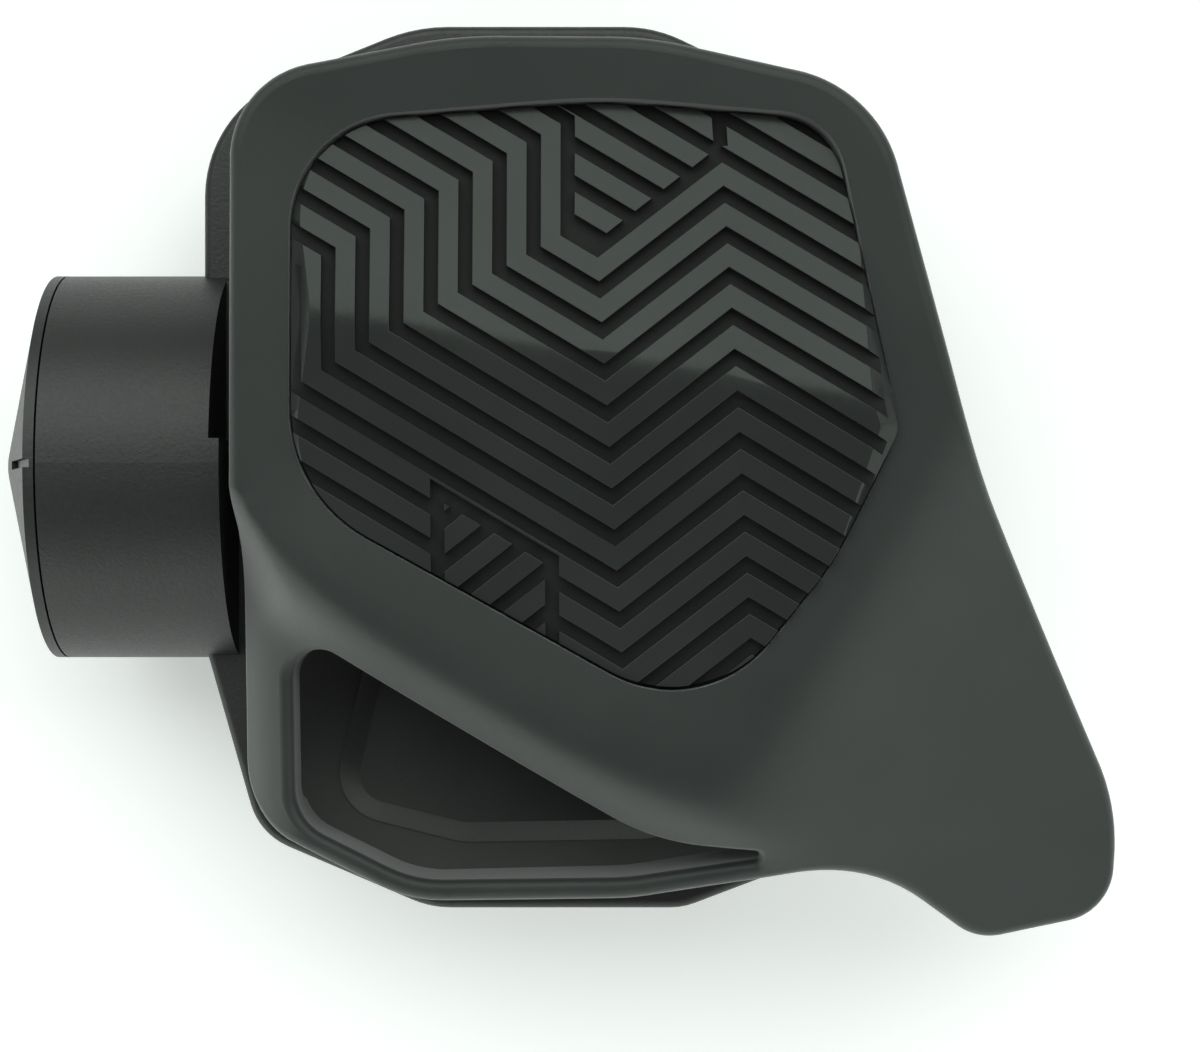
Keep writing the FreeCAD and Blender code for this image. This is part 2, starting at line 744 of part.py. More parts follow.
def window_corners():
    """The window's outline: its lower side runs beside the paddle's edge."""
    rim = moved_in(paddle_corners, window_rim)
    start, run = edge_lines(paddle_corners, window_rim)[0]
    foot_y = start.y + run.y / run.x * (window_x - start.x)
    foot = (window_x, foot_y, window_foot_round)
    return [(window_x,) + window_top, foot, rim[1], rim[2], window_tip, window_bend]


def on_window_lip(point):
    """Whether a point is on the edge between the paddle's outer face and its window."""
    if abs(point.z - paddle_height(point.x, point.y)) > 0.15:
        return False
    return Part.Vertex(point).distToShape(outline(window_corners(), point.z))[0] < 0.03


def make_paddle():
    plate = under_paddle_face(0, paddle_skin).common(prism(paddle_corners, 0, far))
    rim = edges_at(plate, lambda p: abs(p.z - paddle_height(p.x, p.y)) < 0.2)
    plate = eased(plate, rim, paddle_edge_round)
    opening = prism(window_corners(), 0, far)
    plate = plate.cut(opening)
    plate = eased(plate, edges_at(plate, on_window_lip), window_round)
    skirt = prism(paddle_corners, skirt_z, far).cut(prism(moved_in(paddle_corners, skirt_wall), 0, far))
    skirt = skirt.common(under_paddle_face(paddle_skin - 0.8, far))
    paddle = plate.fuse(skirt.cut(opening))
    recess = prism(moved_in(pad_corners, -pad_play), 0, far).common(roof_slab(-paddle_skin, pad_depth))
    paddle = paddle.cut(recess)
    bosses = []
    holes = []
    for place in arm_screw_places:
        top = paddle_height(place[0], place[1]) - paddle_skin + 0.9
        bosses.append(upright(boss_radius, place, arm_top_z, top))
        holes.append(upright(screw_radius, place, arm_top_z - 1, arm_screw_tip + 0.1))
    return paddle.fuse(bosses).cut(holes)


def make_rocker_arm():
    corners = [
        (arm_x[0], -arm_half_length, 2.0), (arm_x[1], -arm_half_length, 2.0),
        (arm_x[1], arm_half_length, 2.0), (arm_x[0], arm_half_length, 2.0),
    ]
    arm = prism(corners, arm_base_z, arm_top_z)
    knuckle = lengthwise(knuckle_radius, knuckle_x[0], knuckle_x[1], 0, pivot_z)
    solids = [knuckle]
    holes = [lengthwise(pin_radius, -far, far, 0, pivot_z)]
    for side in (-1, 1):
        place = (arm_mid_x, side * push_y)
        nub = upright(push_radius, place, push_tip_z, arm_base_z + root)
        solids.append(nub.makeFillet(0.4, edges_at(nub, lambda p: abs(p.z - push_tip_z) < 0.01)))
        seat = (arm_mid_x, side * spring_y)
        holes.append(upright(spring_hole, seat, 0, arm_base_z + spring_pocket))
    holes += [upright(screw_radius + screw_play, place, 0, far) for place in arm_screw_places]
    return arm.fuse(solids).cut(holes)


def make_arm_screws():
    return [screw(arm_screw_tip, arm_base_z, place, True) for place in arm_screw_places]


def make_spring(side):
    base = island_z - spring_seat_depth + spring_wire + 0.03
    top = arm_base_z + spring_pocket - spring_wire - spring_play
    helix = Part.makeHelix((top - base) / spring_turns, top - base, spring_radius)
    profile = Part.Wire(Part.makeCircle(spring_wire, Vector(spring_radius, 0, 0), Vector(0, 1, 0)))
    coil = Part.Wire(helix).makePipeShell([profile], True, True)
    coil.translate(Vector(arm_mid_x, side * spring_y, base))
    return coil


def heading(angle):
    """A direction along the pad and the direction to its left."""
    way = Vector(math.cos(math.radians(angle)), math.sin(math.radians(angle)), 0)
    return way, Vector(-way.y, way.x, 0)


def folded_line(offset):
    """A rib's edge: it falls, follows the runs listed and falls again, moved sideways by the offset."""
    angles = [rib_fall] + [angle for angle, length in rib_runs] + [rib_fall]
    ways = [heading(angle)[0] for angle in angles]
    sides = [heading(angle)[1] for angle in angles]
    corner = Vector(rib_start[0], rib_start[1], 0)
    points = [corner - ways[0] * far + sides[0] * offset]
    for index, run in enumerate(rib_runs + [(rib_fall, far)]):
        mitre = (sides[index] + sides[index + 1]) / (1 + sides[index].dot(sides[index + 1]))
        points.append(corner + mitre * offset)
        corner = corner + ways[index + 1] * run[1]
    points.append(corner + sides[-1] * offset)
    return points


def straight_line(place, angle):
    """The edges of straight ribs at an angle, as a function of their distance from a place."""
    way, side = heading(angle)
    return lambda offset: [place + side * offset - way * far, place + side * offset + way * far]


def upright_prism(points):
    return Part.Face(Part.makePolygon(points + points[:1])).extrude(Vector(0, 0, far))


def prism_of(corners):
    return upright_prism([Vector(corner[0], corner[1], 0) for corner in corners])


def rib_set(line, first, last):
    """Ribs side by side, each between two of the lines."""
    bands = []
    for index in range(first, last):
        low = index * rib_pitch
        bands.append(upright_prism(line(low) + line(low + rib_width)[::-1]))
    return Part.makeCompound(bands)


def make_pad():
    # Where the pad stands proud of the band round it, its edge slopes down to the band.
    edge_z = bezel_z + pad_edge_proud
    slope_start = outline(pad_corners, edge_z)
    slope_end = outline(moved_in(pad_corners, pad_edge_slope), edge_z + pad_edge_slope)
    outer = prism(pad_corners, 0, edge_z).fuse(Part.makeLoft([slope_start, slope_end], True, True))
    base = outer.common(roof_slab(pad_depth - pad_base, pad_depth - 0.02))
    raised = outer.common(roof_slab(pad_depth - pad_base - rib_height, pad_depth - pad_base + 0.2))
    groove = rib_pitch - rib_width
    # Above the last folded rib the ribs run straight, with a groove that carries the fold's peak on.
    above = folded_line(rib_range[1] * rib_pitch)
    upper = upright_prism(above + [Vector(far, far, 0), Vector(-far, far, 0)])
    peak, peak_end = above[4], folded_line(far)[4]
    half = Vector(groove / 2, 0, 0)
    peak_groove = upright_prism([peak - half, peak + half, peak_end + half, peak_end - half])
    upper_ribs = raised.common(upper).cut(peak_groove)
    upper_ribs = upper_ribs.common(rib_set(straight_line(folded_line(0)[4], rib_fall), 0, 2 * rib_range[1]))
    # A patch in the lower half has ribs that run across the others.
    patch = prism_of(patch_corners)
    patch_ribs = raised.common(prism_of(moved_in(patch_corners, groove)))
    patch_middle = Vector(patch_corners[0][0], patch_corners[0][1], 0)
    patch_ribs = patch_ribs.common(rib_set(straight_line(patch_middle, rib_rise), rib_range[0], rib_range[1]))
    folded = raised.cut([upper, patch]).common(rib_set(folded_line, rib_range[0], rib_range[1]))
    return base.fuse([folded, upper_ribs, patch_ribs])


def make_button():
    cap = upright(button_radius, button_place, back_z - button_proud, floor_z + 0.5)
    cap = cap.makeFillet(0.5, edges_at(cap, lambda p: abs(p.z - back_z + button_proud) < 0.01))
    flange_base = floor_z + 0.05
    flange_top = flange_base + button_flange_height
    flange = upright(button_radius + button_flange, button_place, flange_base, flange_top)
    stem = upright(button_stem_radius, button_place, floor_z, button_tip_z)
    groove_z = (button_seal_z - button_seal_section / 2, button_seal_z + button_seal_section / 2)
    groove = upright(button_radius + 1, button_place, groove_z[0], groove_z[1])
    groove = groove.cut(upright(button_radius + button_play - button_seal_section, button_place, 0, far))
    return cap.fuse([flange, stem]).cut(groove)


def make_button_seal():
    section = button_seal_section - 0.02
    middle = button_radius + button_play - button_seal_section / 2
    return ring(middle, section, Vector(button_place[0], button_place[1], button_seal_z), Vector(0, 0, 1))


def make_function_switch():
    size = (button_switch_size, button_switch_size, button_switch_height)
    body = placed_block(size, button_place, board_z - button_switch_height)
    bore_top = button_tip_z + button_travel + button_end_gap
    return body.cut(upright(button_stem_radius + stem_play, button_place, 0, bore_top))


def make_status_lens():
    lens = upright(lens_radius, lens_place, back_z, board_z)
    return lens.makeFillet(0.3, edges_at(lens, lambda p: abs(p.z - back_z) < 0.01))


pieces = {
    "housing": make_housing(),
    "front_cover": make_cover(),
    "cover_seal": make_cover_seal(),
    "cover_screws": make_cover_screws(),
    "clamp_insert": make_clamp_insert(),
    "circuit_board": make_circuit_board(),
    "board_screws": make_board_screws(),
    "radio_module": make_radio_module(),
    "antenna": make_antenna(),
    "upper_switch": make_switch(1),
    "lower_switch": make_switch(-1),
    "upper_stem": make_stem(1),
    "lower_stem": make_stem(-1),
    "stem_seals": make_stem_seals(),
    "stop_bumpers": make_bumpers(),
    "pivot_bushes": make_bushes(),
    "pivot_pin": make_pivot_pin(),
    "coin_cell": make_coin_cell(),
    "negative_contact": make_negative_contact(),
    "positive_contact": make_positive_contact(),
    "battery_cap": make_battery_cap(),
    "battery_cap_seal": make_battery_cap_seal(),
    "paddle": make_paddle(),
    "thumb_pad": make_pad(),
    "rocker_arm": make_rocker_arm(),
    "arm_screws": make_arm_screws(),
    "upper_spring": make_spring(1),
    "lower_spring": make_spring(-1),
    "function_button": make_button(),
    "function_button_seal": make_button_seal(),
    "function_switch": make_function_switch(),
    "status_lens": make_status_lens(),
}

os.makedirs("parts", exist_ok=True)
for name, shape in pieces.items():
    if isinstance(shape, list):
        shape = Part.makeCompound(shape)
    shape.exportStep(os.path.join("parts", name + ".step"))
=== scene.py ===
import math

import bmesh
import bpy
from bpy.props import FloatProperty, FloatVectorProperty, PointerProperty
from bpy.types import Operator, Panel, PropertyGroup
from mathutils import Euler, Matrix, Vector


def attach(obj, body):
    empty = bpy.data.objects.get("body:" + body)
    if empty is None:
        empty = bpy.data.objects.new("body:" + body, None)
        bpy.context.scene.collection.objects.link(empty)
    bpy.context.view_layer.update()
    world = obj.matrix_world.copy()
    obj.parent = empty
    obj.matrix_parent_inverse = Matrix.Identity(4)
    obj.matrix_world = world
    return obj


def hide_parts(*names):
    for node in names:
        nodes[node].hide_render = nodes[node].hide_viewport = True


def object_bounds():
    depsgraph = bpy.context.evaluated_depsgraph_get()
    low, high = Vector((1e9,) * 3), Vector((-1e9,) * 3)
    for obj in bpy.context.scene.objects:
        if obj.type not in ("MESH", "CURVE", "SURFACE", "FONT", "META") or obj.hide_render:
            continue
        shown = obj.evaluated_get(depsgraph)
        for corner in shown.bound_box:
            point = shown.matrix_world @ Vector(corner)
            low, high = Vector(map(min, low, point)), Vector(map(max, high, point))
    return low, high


bl_info = {
    "name": "Shift switch looks",
    "version": (1, 0, 0),
    "blender": (4, 5, 0),
    "location": "3D View > Sidebar > Shift switch",
    "description": "Gives an electronic shift switch its finishes, its studio and its camera",
    "category": "Object",
}

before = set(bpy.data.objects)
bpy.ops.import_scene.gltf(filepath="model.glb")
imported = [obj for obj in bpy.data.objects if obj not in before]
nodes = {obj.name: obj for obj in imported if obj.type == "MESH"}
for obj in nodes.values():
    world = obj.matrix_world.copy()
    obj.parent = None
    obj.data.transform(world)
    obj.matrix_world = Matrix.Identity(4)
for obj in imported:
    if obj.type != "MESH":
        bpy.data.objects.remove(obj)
cad_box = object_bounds()

SENSOR_MM = 36
UPWARD = 0.85  # a face points up where its normal reaches this high
MERGE_DISTANCE = 0.000002
FLAT_ANGLE = math.radians(1)
SHARP_ANGLE = math.radians(20)
# How far the table's painted glow takes to change from the paddle's lower side to its upper side.
GLOW_REACH = 0.05


def colour(name, description, value):
    """A colour that a user can change."""
    return FloatVectorProperty(
        name=name, description=description, default=value, size=3, min=0, max=1, subtype="COLOR"
    )


def share(name, description, value):
    """A value from nothing to full."""
    return FloatProperty(name=name, description=description, default=value, min=0, max=1, subtype="FACTOR")


def length(name, description, value):
    """A length in metres."""
    return FloatProperty(
        name=name, description=description, default=value, min=0, precision=6,
        subtype="DISTANCE", unit="LENGTH",
    )


def angle(name, description, degrees):
    """An angle, given in degrees."""
    return FloatProperty(
        name=name, description=description, default=math.radians(degrees), subtype="ANGLE", unit="ROTATION"
    )


def strength(name, description, value):
    """How bright a light is."""
    return FloatProperty(name=name, description=description, default=value, min=0)


def span(name, description, value):
    """A width and a depth in metres."""
    return FloatVectorProperty(
        name=name, description=description, default=value, size=2, subtype="XYZ_LENGTH", unit="LENGTH"
    )


class MouldingSettings(PropertyGroup):
    """Colours, gloss and grain of the black mouldings."""

    housing_colour: colour(
        "Housing colour", "Grained black of housing and battery cap", (0.0098, 0.0103, 0.0101)
    )
    housing_roughness: share("Housing roughness", "How matt the housing is", 0.46)
    housing_grain: length("Housing grain", "Size of the housing's moulded grain", 0.00022)
    paddle_colour: colour("Paddle colour", "Satin black of the rocker paddle", (0.0155, 0.0168, 0.0166))
    paddle_roughness: share("Paddle roughness", "How matt the paddle is", 0.5)
    paddle_bloom: share("Paddle bloom", "How much the paddle lightens at glancing angles", 0.26)
    gleam: colour("Gleam", "Tint of the reflections on paddle and thumb pad", (0.9, 1.0, 0.93))
    paddle_grain: length("Paddle grain", "Size of the paddle's fine grain", 0.00009)
    pad_colour: colour("Pad colour", "Semi-gloss black of the thumb pad's ribs", (0.021, 0.0225, 0.0216))
    pad_roughness: share("Pad roughness", "How matt the thumb pad's ribs are", 0.22)
    pad_grain: length("Pad grain", "Size of the fine waves in the thumb pad's gloss", 0.00035)
    # Darker than the ribs' black: painted shade in the grooves between the ribs.
    groove_shade_colour: colour("Groove colour", "Matt black between the thumb pad's ribs", (0.014, 0.0146, 0.0142))
    rib_round: length("Rib round", "How far the ribs' edges are rounded", 0.00014)
    # Lighter than the housing's black: the cover's own matt black with painted light added, lifting the shade
    # under the paddle.
    cover_colour_with_painted_fill: colour("Cover colour", "Matt black of the cover under the paddle", (0.026, 0.0275, 0.0262))
    cover_roughness: share("Cover roughness", "How matt the cover is", 0.66)


class StageSettings(PropertyGroup):
    """Camera, floor and lights."""

    camera_place: FloatVectorProperty(
        name="Camera place", description="Where the camera stands, over the paddle face", size=3,
        default=(0.00424, -0.00357, 0.18396), subtype="XYZ", unit="LENGTH",
    )
    focal_length: FloatProperty(
        name="Focal length", description="Focal length on a sensor 36 mm wide", default=84.48, min=1,
        unit="CAMERA",
    )
    floor_colour: colour("Floor colour", "White of the table", (0.9, 0.9, 0.9))
    floor_radius: length("Floor radius", "How far the table reaches", 1.6)
    # The table's glow is painted light, stronger on the paddle's lower side to lift the paddle's shadow
    # there.
    glow_upper: strength("Upper glow", "Glow of the table on the paddle's upper side", 0.15)
    glow_lower: strength("Lower glow", "Glow of the table on the paddle's lower side", 0.34)
    light_tint: colour("Light tint", "Tint of the lights", (0.95, 1.0, 0.96))
    softbox_size: span("Softbox size", "Size of the softbox on the paddle's upper side", (0.9, 0.48))
    softbox_tilt: angle("Softbox tilt", "How far the softbox leans from overhead", 36)
    softbox_turn: angle("Softbox turn", "Where the softbox stands, from the wing's side round", 90)
    softbox_light: strength("Softbox light", "Brightness of the softbox's face", 2.45)
    card_size: span("Card size", "Size of the pale card on the wing's side", (1.1, 0.5))
    card_tilt: angle("Card tilt", "How far the card leans from overhead", 66)
    card_turn: angle("Card turn", "Where the card stands, from the wing's side round", -38)
    card_light: strength("Card light", "Brightness of the card's face", 0.9)
    low_card_size: span("Low card size", "Size of the low card on the barrel's side", (0.9, 0.28))
    low_card_tilt: angle("Low card tilt", "How far the low card leans from overhead", 74)
    low_card_turn: angle("Low card turn", "Where the low card stands, from the wing's side round", -140)
    low_card_light: strength("Low card light", "Brightness of the low card's face", 2.1)
    light_distance: length("Light distance", "From the paddle to softbox and cards", 0.5)
    room_strength: strength("Room light", "Even light from the room", 0.2)


def material(name):
    """A new material, its node tree and its shader."""
    made = bpy.data.materials.new(name)
    made.use_nodes = True
    return made, made.node_tree, made.node_tree.nodes["Principled BSDF"]


def place_on_piece(tree, stretch=(1, 1, 1)):
    """The piece's own coordinates, in metres, drawn out along an axis where a grain is directional."""
    coordinates = tree.nodes.new("ShaderNodeTexCoord")
    mapping = tree.nodes.new("ShaderNodeMapping")
    mapping.inputs["Scale"].default_value = stretch
    tree.links.new(coordinates.outputs["Object"], mapping.inputs["Vector"])
    return mapping.outputs["Vector"]


def noise(tree, vector, size, detail=3.0, rough=0.55):
    """Soft noise whose features are about this size."""
    node = tree.nodes.new("ShaderNodeTexNoise")
    node.inputs["Scale"].default_value = 1 / size
    node.inputs["Detail"].default_value = detail
    node.inputs["Roughness"].default_value = rough
    tree.links.new(vector, node.inputs["Vector"])
    return node.outputs["Fac"]


def between(tree, value, low, high, start=0.3, end=0.7):
    """A value brought from one range into another."""
    node = tree.nodes.new("ShaderNodeMapRange")
    for socket, number in (("From Min", start), ("From Max", end), ("To Min", low), ("To Max", high)):
        node.inputs[socket].default_value = number
    tree.links.new(value, node.inputs["Value"])
    return node.outputs["Result"]


def tint(tree, value, dark, light):
    """A colour between two, by a value from 0 to 1."""
    node = tree.nodes.new("ShaderNodeMix")
    node.data_type = "RGBA"
    node.inputs[6].default_value = (*dark, 1)
    node.inputs[7].default_value = (*light, 1)
    tree.links.new(value, node.inputs[0])
    return node.outputs[2]


def relief(tree, shader, height, depth, strength=1.0):
    """A bump of a real depth in metres."""
    node = tree.nodes.new("ShaderNodeBump")
    node.inputs["Strength"].default_value = strength
    node.inputs["Distance"].default_value = depth
    tree.links.new(height, node.inputs["Height"])
    tree.links.new(node.outputs["Normal"], shader.inputs["Normal"])


def scaled(base, factor):
    """A colour made lighter or darker."""
    return tuple(min(channel * factor, 1.0) for channel in base)


def moulding(name, base, roughness, grain, depth, gloss=0.5, spread=0.16, bloom=0.0, gleam=(1, 1, 1)):
    """A moulding: fine grain in bump and gloss, a slow drift in its shade, and a bloom at glancing angles."""
    made, tree, shader = material(name)
    vector = place_on_piece(tree)
    fine = noise(tree, vector, grain, 4.0, 0.6)
    slow = noise(tree, vector, 0.009, 2.0)
    shade = tint(tree, between(tree, slow, 0, 1), scaled(base, 1 - spread), scaled(base, 1 + spread))
    tree.links.new(shade, shader.inputs["Base Color"])
    tree.links.new(between(tree, fine, roughness - 0.05, roughness + 0.05), shader.inputs["Roughness"])
    shader.inputs["Specular IOR Level"].default_value = gloss
    shader.inputs["Specular Tint"].default_value = (*gleam, 1)
    shader.inputs["Sheen Weight"].default_value = bloom
    shader.inputs["Sheen Roughness"].default_value = 0.5
    relief(tree, shader, fine, depth)
    return made


def metal(name, base, roughness, streak=(1, 1, 1), size=0.0002):
    """A metal with a drawn, ground or plated surface, by how its streaks are drawn out."""
    made, tree, shader = material(name)
    lines = noise(tree, place_on_piece(tree, streak), size, 3.0)
    tree.links.new(tint(tree, lines, scaled(base, 0.82), scaled(base, 1.12)), shader.inputs["Base Color"])
    tree.links.new(between(tree, lines, roughness - 0.07, roughness + 0.09), shader.inputs["Roughness"])
    shader.inputs["Metallic"].default_value = 1.0
    relief(tree, shader, lines, size / 60)
    return made


def rubber(name, base, roughness=0.8):
    """Moulded rubber: matt, with a powdery bloom."""
    made, tree, shader = material(name)
    vector = place_on_piece(tree)
    bloom = noise(tree, vector, 0.0012, 4.0)
    shade = tint(tree, between(tree, bloom, 0, 1), base, scaled(base, 1.7))
    tree.links.new(shade, shader.inputs["Base Color"])
    tree.links.new(between(tree, bloom, roughness - 0.08, roughness + 0.05), shader.inputs["Roughness"])
    shader.inputs["Specular IOR Level"].default_value = 0.3
    relief(tree, shader, noise(tree, vector, 0.00012), 0.000008)
    return made


def give(made, *names):
    """Puts a material on CAD nodes."""
    for name in names:
        piece = nodes[name]
        if piece.material_slots:
            piece.material_slots[0].material = made
        else:
            piece.data.materials.append(made)


class SHIFT_OT_housing(Operator):
    """Give the housing and the battery cap their grained black"""

    bl_idname = "shift.housing"
    bl_label = "Housing and battery cap"

    def execute(self, context):
        look = context.scene.shift_mouldings
        made = moulding(
            "grained_black", look.housing_colour, look.housing_roughness, look.housing_grain,
            depth=0.000024, gloss=0.5,
        )
        give(made, "housing", "battery_cap")
        return {"FINISHED"}


class SHIFT_OT_paddle(Operator):
    """Give the rocker paddle its satin black"""

    bl_idname = "shift.paddle"
    bl_label = "Rocker paddle"

    def execute(self, context):
        look = context.scene.shift_mouldings
        made = moulding(
            "satin_black", look.paddle_colour, look.paddle_roughness, look.paddle_grain,
            depth=0.000006, gloss=0.36, bloom=look.paddle_bloom, gleam=look.gleam,
        )
        give(made, "paddle")
        return {"FINISHED"}


class SHIFT_OT_thumb_pad(Operator):
    """Round the thumb pad's ribs, give the ribs their black and paint the grooves a darker black as their
    shade
    """

    bl_idname = "shift.thumb_pad"
    bl_label = "Thumb pad"

    def execute(self, context):
        look = context.scene.shift_mouldings
        top = moulding(
            "semi_gloss_black", look.pad_colour, look.pad_roughness, look.pad_grain,
            depth=0.000004, gloss=0.26, gleam=look.gleam,
        )
        # The grooves' floors and walls get a darker matt black: painted shade in the recesses.
        groove_shade = moulding(
            "groove_black", look.groove_shade_colour, 0.8, look.housing_grain, depth=0.00001, gloss=0.2
        )
        give(top, "thumb_pad")
        shape = merged_copy("thumb_pad")
        floors = groove_floors(shape)
        # Groove floors and rib walls take the painted-shade material.
        for face in shape.faces:
            face.material_index = 1 if face in floors or not faces_up(face) else 0
        ribs = [edge for edge in shape.edges if is_rib_edge(edge, floors)]
        bmesh.ops.bevel(
            shape, geom=ribs, affect="EDGES", offset=look.rib_round, offset_type="OFFSET",
            segments=2, profile=0.5, material=-1, clamp_overlap=True,
        )
        for face in shape.faces:
            if 0.1 < face.normal.z < UPWARD:
                face.material_index = 0
        mesh = bpy.data.meshes.new("ribbed_pad")
        shape.to_mesh(mesh)
        shape.free()
        mesh.shade_smooth()
        mesh.set_sharp_from_angle(angle=SHARP_ANGLE)
        mesh.materials.append(top)
        mesh.materials.append(groove_shade)
        pad = bpy.data.objects.new("ribbed_pad", mesh)
        context.scene.collection.objects.link(pad)
        flats = pad.modifiers.new("flats_lead", "WEIGHTED_NORMAL")
        flats.keep_sharp = True
        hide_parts("thumb_pad")
        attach(pad, "rocker")
        return {"FINISHED"}


def merged_copy(name):
    """A copy of a CAD node's mesh in the row frame, its triangles joined and flat areas made whole."""
    shape = bmesh.new()
    shape.from_mesh(nodes[name].data)
    bmesh.ops.transform(shape, matrix=nodes[name].matrix_world, verts=shape.verts)
    bmesh.ops.remove_doubles(shape, verts=shape.verts, dist=MERGE_DISTANCE)
    bmesh.ops.dissolve_limit(shape, angle_limit=FLAT_ANGLE, verts=shape.verts, edges=shape.edges)
    bmesh.ops.recalc_face_normals(shape, faces=shape.faces)
    return shape


def faces_up(face):
    """Whether a face points up."""
    return face.normal.z > UPWARD


def groove_floors(shape):
    """The upward areas from which a wall rises, each taken with all that joins on to it."""
    found = set()
    seen = set()
    for start in shape.faces:
        if start in seen or not faces_up(start):
            continue
        area = {start}
        queue = [start]
        walled = False
        while queue:
            for edge in queue.pop().edges:
                for other in edge.link_faces:
                    if not faces_up(other):
                        walled = walled or not edge.is_convex
                    elif other not in area:
                        area.add(other)
                        queue.append(other)
        seen |= area
        if walled:
            found |= area
    return found


def is_rib_edge(edge, floors):
    """Whether an edge is between a rib's top and its side."""
    tops = [face for face in edge.link_faces if faces_up(face) and face not in floors]
    return len(tops) == 1 and len(edge.link_faces) == 2 and edge.is_convex


class SHIFT_OT_cover(Operator):
    """Give the front cover its matt black, lightened with painted light, and the switch bodies their matt
    black
    """

    bl_idname = "shift.cover"
    bl_label = "Front cover and switches"

    def execute(self, context):
        look = context.scene.shift_mouldings
        # The cover's black is lightened: painted light lifting the shade under the paddle.
        made = moulding(
            "matt_black", look.cover_colour_with_painted_fill, look.cover_roughness, look.housing_grain,
            depth=0.000012, gloss=0.4,
        )
        give(made, "front_cover")
        bodies = moulding("switch_black", (0.03, 0.03, 0.032), 0.55, grain=0.0002, depth=0.000006)
        give(bodies, "upper_switch", "lower_switch", "function_switch")
        return {"FINISHED"}


class SHIFT_OT_rubber_parts(Operator):
    """Give seals, bumpers and the function button their rubber"""

    bl_idname = "shift.rubber_parts"
    bl_label = "Rubber parts"

    def execute(self, context):
        give(rubber("seal_black", (0.014, 0.014, 0.014)), "cover_seal", "stem_seals", "stop_bumpers")
        give(rubber("ring_black", (0.016, 0.016, 0.016)), "battery_cap_seal", "function_button_seal")
        give(rubber("button_grey", (0.032, 0.032, 0.034), 0.72), "function_button")
        return {"FINISHED"}


class SHIFT_OT_metal_parts(Operator):
    """Give screws, insert, pivot, springs, cell and contacts their metals"""

    bl_idname = "shift.metal_parts"
    bl_label = "Metal parts"

    def execute(self, context):
        give(metal("black_oxide_steel", (0.09, 0.09, 0.092), 0.42), "cover_screws")
        give(metal("zinc_steel", (0.52, 0.53, 0.55), 0.34), "board_screws", "arm_screws")
        give(metal("turned_brass", (0.72, 0.54, 0.25), 0.3, (1, 1, 12)), "clamp_insert")
        give(metal("sintered_bronze", (0.5, 0.34, 0.17), 0.52, size=0.00012), "pivot_bushes")
        give(metal("ground_steel", (0.6, 0.6, 0.61), 0.22, (14, 1, 1)), "pivot_pin")
        give(metal("dark_anodised", (0.14, 0.14, 0.148), 0.4, (1, 6, 1)), "rocker_arm")
        give(metal("spring_wire", (0.5, 0.5, 0.5), 0.28, (1, 1, 4)), "upper_spring", "lower_spring")
        give(metal("nickel_cell", (0.66, 0.65, 0.63), 0.24, (1, 9, 9)), "coin_cell")
        contact = metal("nickel_contact", (0.7, 0.65, 0.54), 0.26, (1, 8, 1))
        give(contact, "negative_contact", "positive_contact")
        give(metal("tinned_can", (0.66, 0.66, 0.67), 0.3, (6, 1, 1)), "radio_module")
        return {"FINISHED"}


class SHIFT_OT_electronics(Operator):
    """Give the board, antenna, stems and status lens their finishes"""

    bl_idname = "shift.electronics"
    bl_label = "Board, stems and lens"

    def execute(self, context):
        give(board_finish(), "circuit_board")
        ceramic = moulding(
            "antenna_ceramic", (0.74, 0.72, 0.66), 0.25, grain=0.0003, depth=0.000002, spread=0.05
        )
        give(ceramic, "antenna")
        nylon = moulding("natural_nylon", (0.7, 0.69, 0.63), 0.42, grain=0.0004, depth=0.000004, spread=0.05)
        give(nylon, "upper_stem", "lower_stem")
        give(lens_finish(), "status_lens")
        return {"FINISHED"}


def board_finish():
    """Green solder mask with darker lanes between its tracks."""
    made, tree, shader = material("solder_mask")
    vector = place_on_piece(tree)
    tracks = tree.nodes.new("ShaderNodeTexWave")
    tracks.inputs["Scale"].default_value = 260
    tracks.inputs["Distortion"].default_value = 3.0
    tracks.inputs["Detail"].default_value = 0.0
    tree.links.new(vector, tracks.inputs["Vector"])
    lanes = between(tree, tracks.outputs["Fac"], 0, 1, 0.4, 0.6)
    tree.links.new(tint(tree, lanes, (0.006, 0.06, 0.024), (0.012, 0.12, 0.045)), shader.inputs["Base Color"])
    tree.links.new(between(tree, noise(tree, vector, 0.002), 0.28, 0.4), shader.inputs["Roughness"])
    relief(tree, shader, lanes, 0.00003)
    return made


def lens_finish():
    """A clear light pipe, faintly frosted."""
    made, tree, shader = material("clear_lens")
    shader.inputs["Base Color"].default_value = (0.86, 0.9, 0.88, 1)
    shader.inputs["Transmission Weight"].default_value = 1.0
    shader.inputs["IOR"].default_value = 1.49
    frost = noise(tree, place_on_piece(tree), 0.0003)
    tree.links.new(between(tree, frost, 0.1, 0.24), shader.inputs["Roughness"])
    return made


class SHIFT_OT_stage(Operator):
    """Build the table, the room, the softbox, the cards and the camera"""

    bl_idname = "shift.stage"
    bl_label = "Table, lights and camera"

    def execute(self, context):
        stage = context.scene.shift_stage
        make_floor(context, stage)
        make_room(context, stage)
        for name in ("softbox", "card", "low_card"):
            make_panel(context, stage, name)
        make_camera(context, stage)
        context.scene.view_settings.view_transform = "Standard"
        return {"FINISHED"}


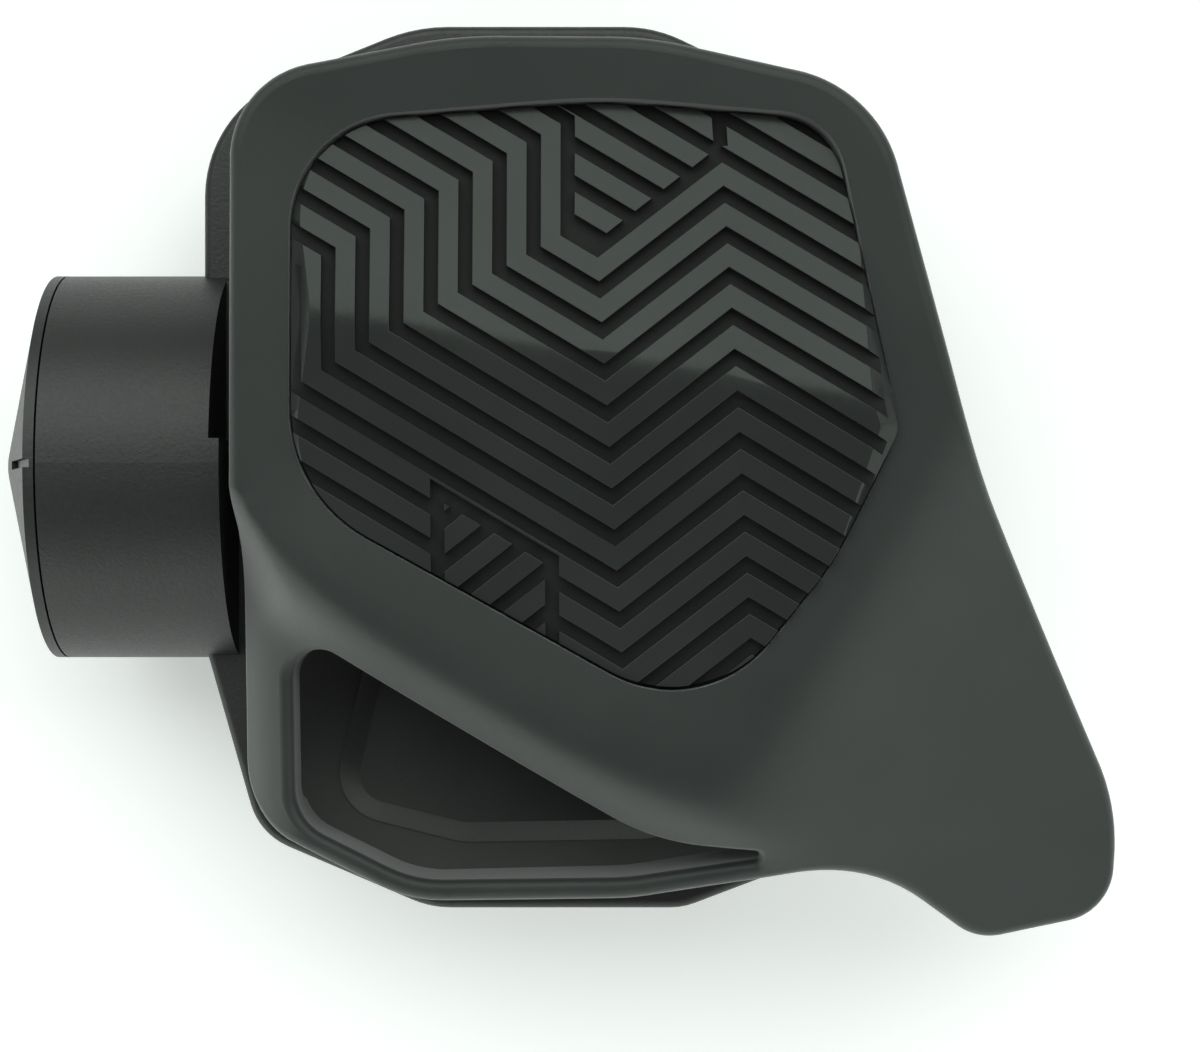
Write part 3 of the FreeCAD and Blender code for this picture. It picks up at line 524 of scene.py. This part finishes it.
def make_floor(context, stage):
    """A round white table with a painted glow, like an over-lit paper, stronger on the paddle's lower side,
    where it lifts the paddle's shadow.
    """
    mesh = bpy.data.meshes.new("table_top")
    shape = bmesh.new()
    bmesh.ops.create_circle(shape, cap_ends=True, segments=96, radius=stage.floor_radius)
    bmesh.ops.translate(shape, verts=shape.verts, vec=(0, 0, cad_box[0][2]))
    shape.to_mesh(mesh)
    shape.free()
    floor = bpy.data.objects.new("table_top", mesh)
    context.scene.collection.objects.link(floor)
    made, tree, shader = material("white_table")
    slow = noise(tree, place_on_piece(tree), 0.25, 2.0)
    white = tint(tree, between(tree, slow, 0, 1), scaled(stage.floor_colour, 0.985), stage.floor_colour)
    tree.links.new(white, shader.inputs["Base Color"])
    shader.inputs["Roughness"].default_value = 0.75
    shader.inputs["Specular IOR Level"].default_value = 0.2
    shader.inputs["Emission Color"].default_value = (*stage.light_tint, 1)
    place = tree.nodes.new("ShaderNodeSeparateXYZ")
    tree.links.new(place_on_piece(tree), place.inputs["Vector"])
    # Painted glow: stronger towards the paddle's lower side, lifting the shadow that falls there.
    glow = between(tree, place.outputs["Y"], stage.glow_lower, stage.glow_upper, -GLOW_REACH, GLOW_REACH)
    tree.links.new(glow, shader.inputs["Emission Strength"])
    mesh.materials.append(made)


def make_room(context, stage):
    """A dim, even room round the table."""
    world = bpy.data.worlds.new("room")
    context.scene.world = world
    world.use_nodes = True
    room = world.node_tree.nodes["Background"]
    room.inputs["Color"].default_value = (*stage.light_tint, 1)
    room.inputs["Strength"].default_value = stage.room_strength


def make_panel(context, stage, name):
    """A flat light that faces the paddle, leaning from overhead in one direction."""
    size = getattr(stage, name + "_size")
    tilt = getattr(stage, name + "_tilt")
    turn = getattr(stage, name + "_turn")
    light = bpy.data.lights.new(name, "AREA")
    light.shape = "RECTANGLE"
    light.size, light.size_y = size
    light.energy = getattr(stage, name + "_light") * math.pi * size[0] * size[1]
    light.color = stage.light_tint
    lamp = bpy.data.objects.new(name, light)
    context.scene.collection.objects.link(lamp)
    aim = Vector(stage.camera_place)
    aim.z = cad_box[1][2]
    side = Vector((math.cos(turn), math.sin(turn), 0)) * math.sin(tilt)
    lamp.location = aim + (side + Vector((0, 0, math.cos(tilt)))) * stage.light_distance
    lamp.rotation_euler = Euler((tilt, 0, turn + math.radians(90)))
    lamp.visible_camera = False


def make_camera(context, stage):
    """The camera looks straight down on the paddle, with the paddle's upper side up."""
    lens = bpy.data.cameras.new("camera")
    lens.sensor_fit = "HORIZONTAL"
    lens.sensor_width = SENSOR_MM
    lens.lens = stage.focal_length
    lens.clip_start = 0.005
    camera = bpy.data.objects.new("camera", lens)
    camera.location = stage.camera_place
    context.scene.collection.objects.link(camera)
    context.scene.camera = camera


class SHIFT_PT_looks(Panel):
    """Buttons and settings of the shift switch's looks"""

    bl_idname = "SHIFT_PT_looks"
    bl_label = "Shift switch"
    bl_space_type = "VIEW_3D"
    bl_region_type = "UI"
    bl_category = "Shift switch"

    def draw(self, context):
        for operator in operators:
            self.layout.operator(operator.bl_idname)
        for settings in (context.scene.shift_mouldings, context.scene.shift_stage):
            box = self.layout.box()
            for name in settings.__annotations__:
                box.prop(settings, name)


settings_groups = (MouldingSettings, StageSettings)
operators = (
    SHIFT_OT_housing, SHIFT_OT_paddle, SHIFT_OT_thumb_pad, SHIFT_OT_cover, SHIFT_OT_rubber_parts,
    SHIFT_OT_metal_parts, SHIFT_OT_electronics, SHIFT_OT_stage,
)


def register():
    for group in settings_groups + operators + (SHIFT_PT_looks,):
        bpy.utils.register_class(group)
    bpy.types.Scene.shift_mouldings = PointerProperty(type=MouldingSettings)
    bpy.types.Scene.shift_stage = PointerProperty(type=StageSettings)


def unregister():
    del bpy.types.Scene.shift_stage
    del bpy.types.Scene.shift_mouldings
    for group in reversed(settings_groups + operators + (SHIFT_PT_looks,)):
        bpy.utils.unregister_class(group)


def main():
    register()
    bpy.ops.shift.housing()
    bpy.ops.shift.paddle()
    bpy.ops.shift.thumb_pad()
    bpy.ops.shift.cover()
    bpy.ops.shift.rubber_parts()
    bpy.ops.shift.metal_parts()
    bpy.ops.shift.electronics()
    bpy.ops.shift.stage()


if __name__ == "__main__":
    main()
